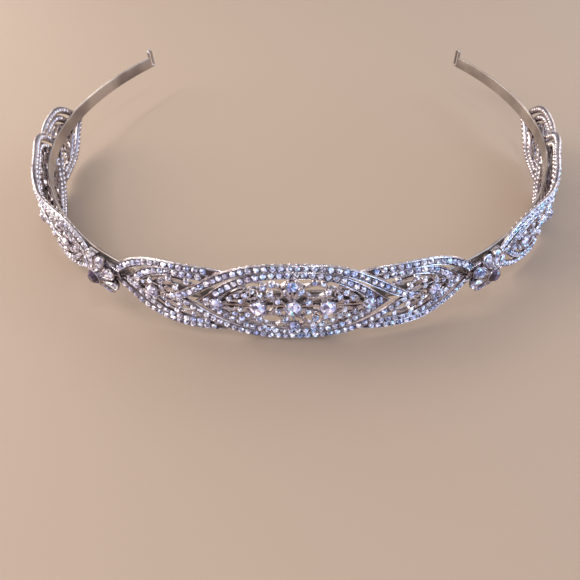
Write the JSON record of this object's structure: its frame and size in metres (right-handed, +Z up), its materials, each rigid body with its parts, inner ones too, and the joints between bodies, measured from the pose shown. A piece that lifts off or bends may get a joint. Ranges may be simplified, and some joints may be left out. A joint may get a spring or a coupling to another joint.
{
  "type": "tiara",
  "caption": "Crystal tiara: a slim sprung metal headband with pierced pointed-oval panels and raised rosettes, set all over with cut stones.",
  "frame": {"origin": "centre of the footprint on the surface that the tiara stands on", "axes": "+X across the head, +Y from the front panel towards the open back, +Z up"},
  "size_m": [0.145, 0.1344, 0.0224],
  "materials": {
    "silver_metal": "bright silver-coloured plating, slightly uneven cast surface",
    "crystal": "cut and polished, foiled back, with a faint violet and blue sheen",
    "dark_crystal": "cut and polished, dark"
  },
  "bodies": {
    "root": {"headband": "silver_metal", "front_centre_frame": "silver_metal", "left_centre_frame": "silver_metal", "right_centre_frame": "silver_metal", "front_left_frame": "silver_metal", "front_right_frame": "silver_metal", "left_far_frame": "silver_metal", "left_near_frame": "silver_metal", "right_near_frame": "silver_metal", "right_far_frame": "silver_metal", "front_stone_centre": "crystal", "front_stone_left_inner": "crystal", "front_stone_right_inner": "crystal", "front_stone_top": "crystal", "front_stone_bottom": "crystal", "front_stone_left_tip": "crystal", "front_stone_right_tip": "crystal", "front_stone_left_flank": "crystal", "front_stone_right_flank": "crystal", "front_stone_left_outer": "crystal", "front_stone_right_outer": "crystal", "left_stone_centre": "crystal", "left_stone_far_inner": "crystal", "left_stone_near_inner": "crystal", "left_stone_top": "crystal", "left_stone_bottom": "crystal", "left_stone_far_tip": "crystal", "left_stone_near_tip": "crystal", "left_stone_far_flank": "crystal", "left_stone_near_flank": "crystal", "left_stone_far_outer": "crystal", "left_stone_near_outer": "crystal", "right_stone_centre": "crystal", "right_stone_near_inner": "crystal", "right_stone_far_inner": "crystal", "right_stone_top": "crystal", "right_stone_bottom": "crystal", "right_stone_near_tip": "crystal", "right_stone_far_tip": "crystal", "right_stone_near_flank": "crystal", "right_stone_far_flank": "crystal", "right_stone_near_outer": "crystal", "right_stone_far_outer": "crystal", "front_row_stones": "crystal", "left_rosette": "silver_metal", "left_rosette_stone": "dark_crystal", "left_petal_stones": "crystal", "right_rosette": "silver_metal", "right_rosette_stone": "dark_crystal", "right_petal_stones": "crystal"}
  },
  "joints": []
}
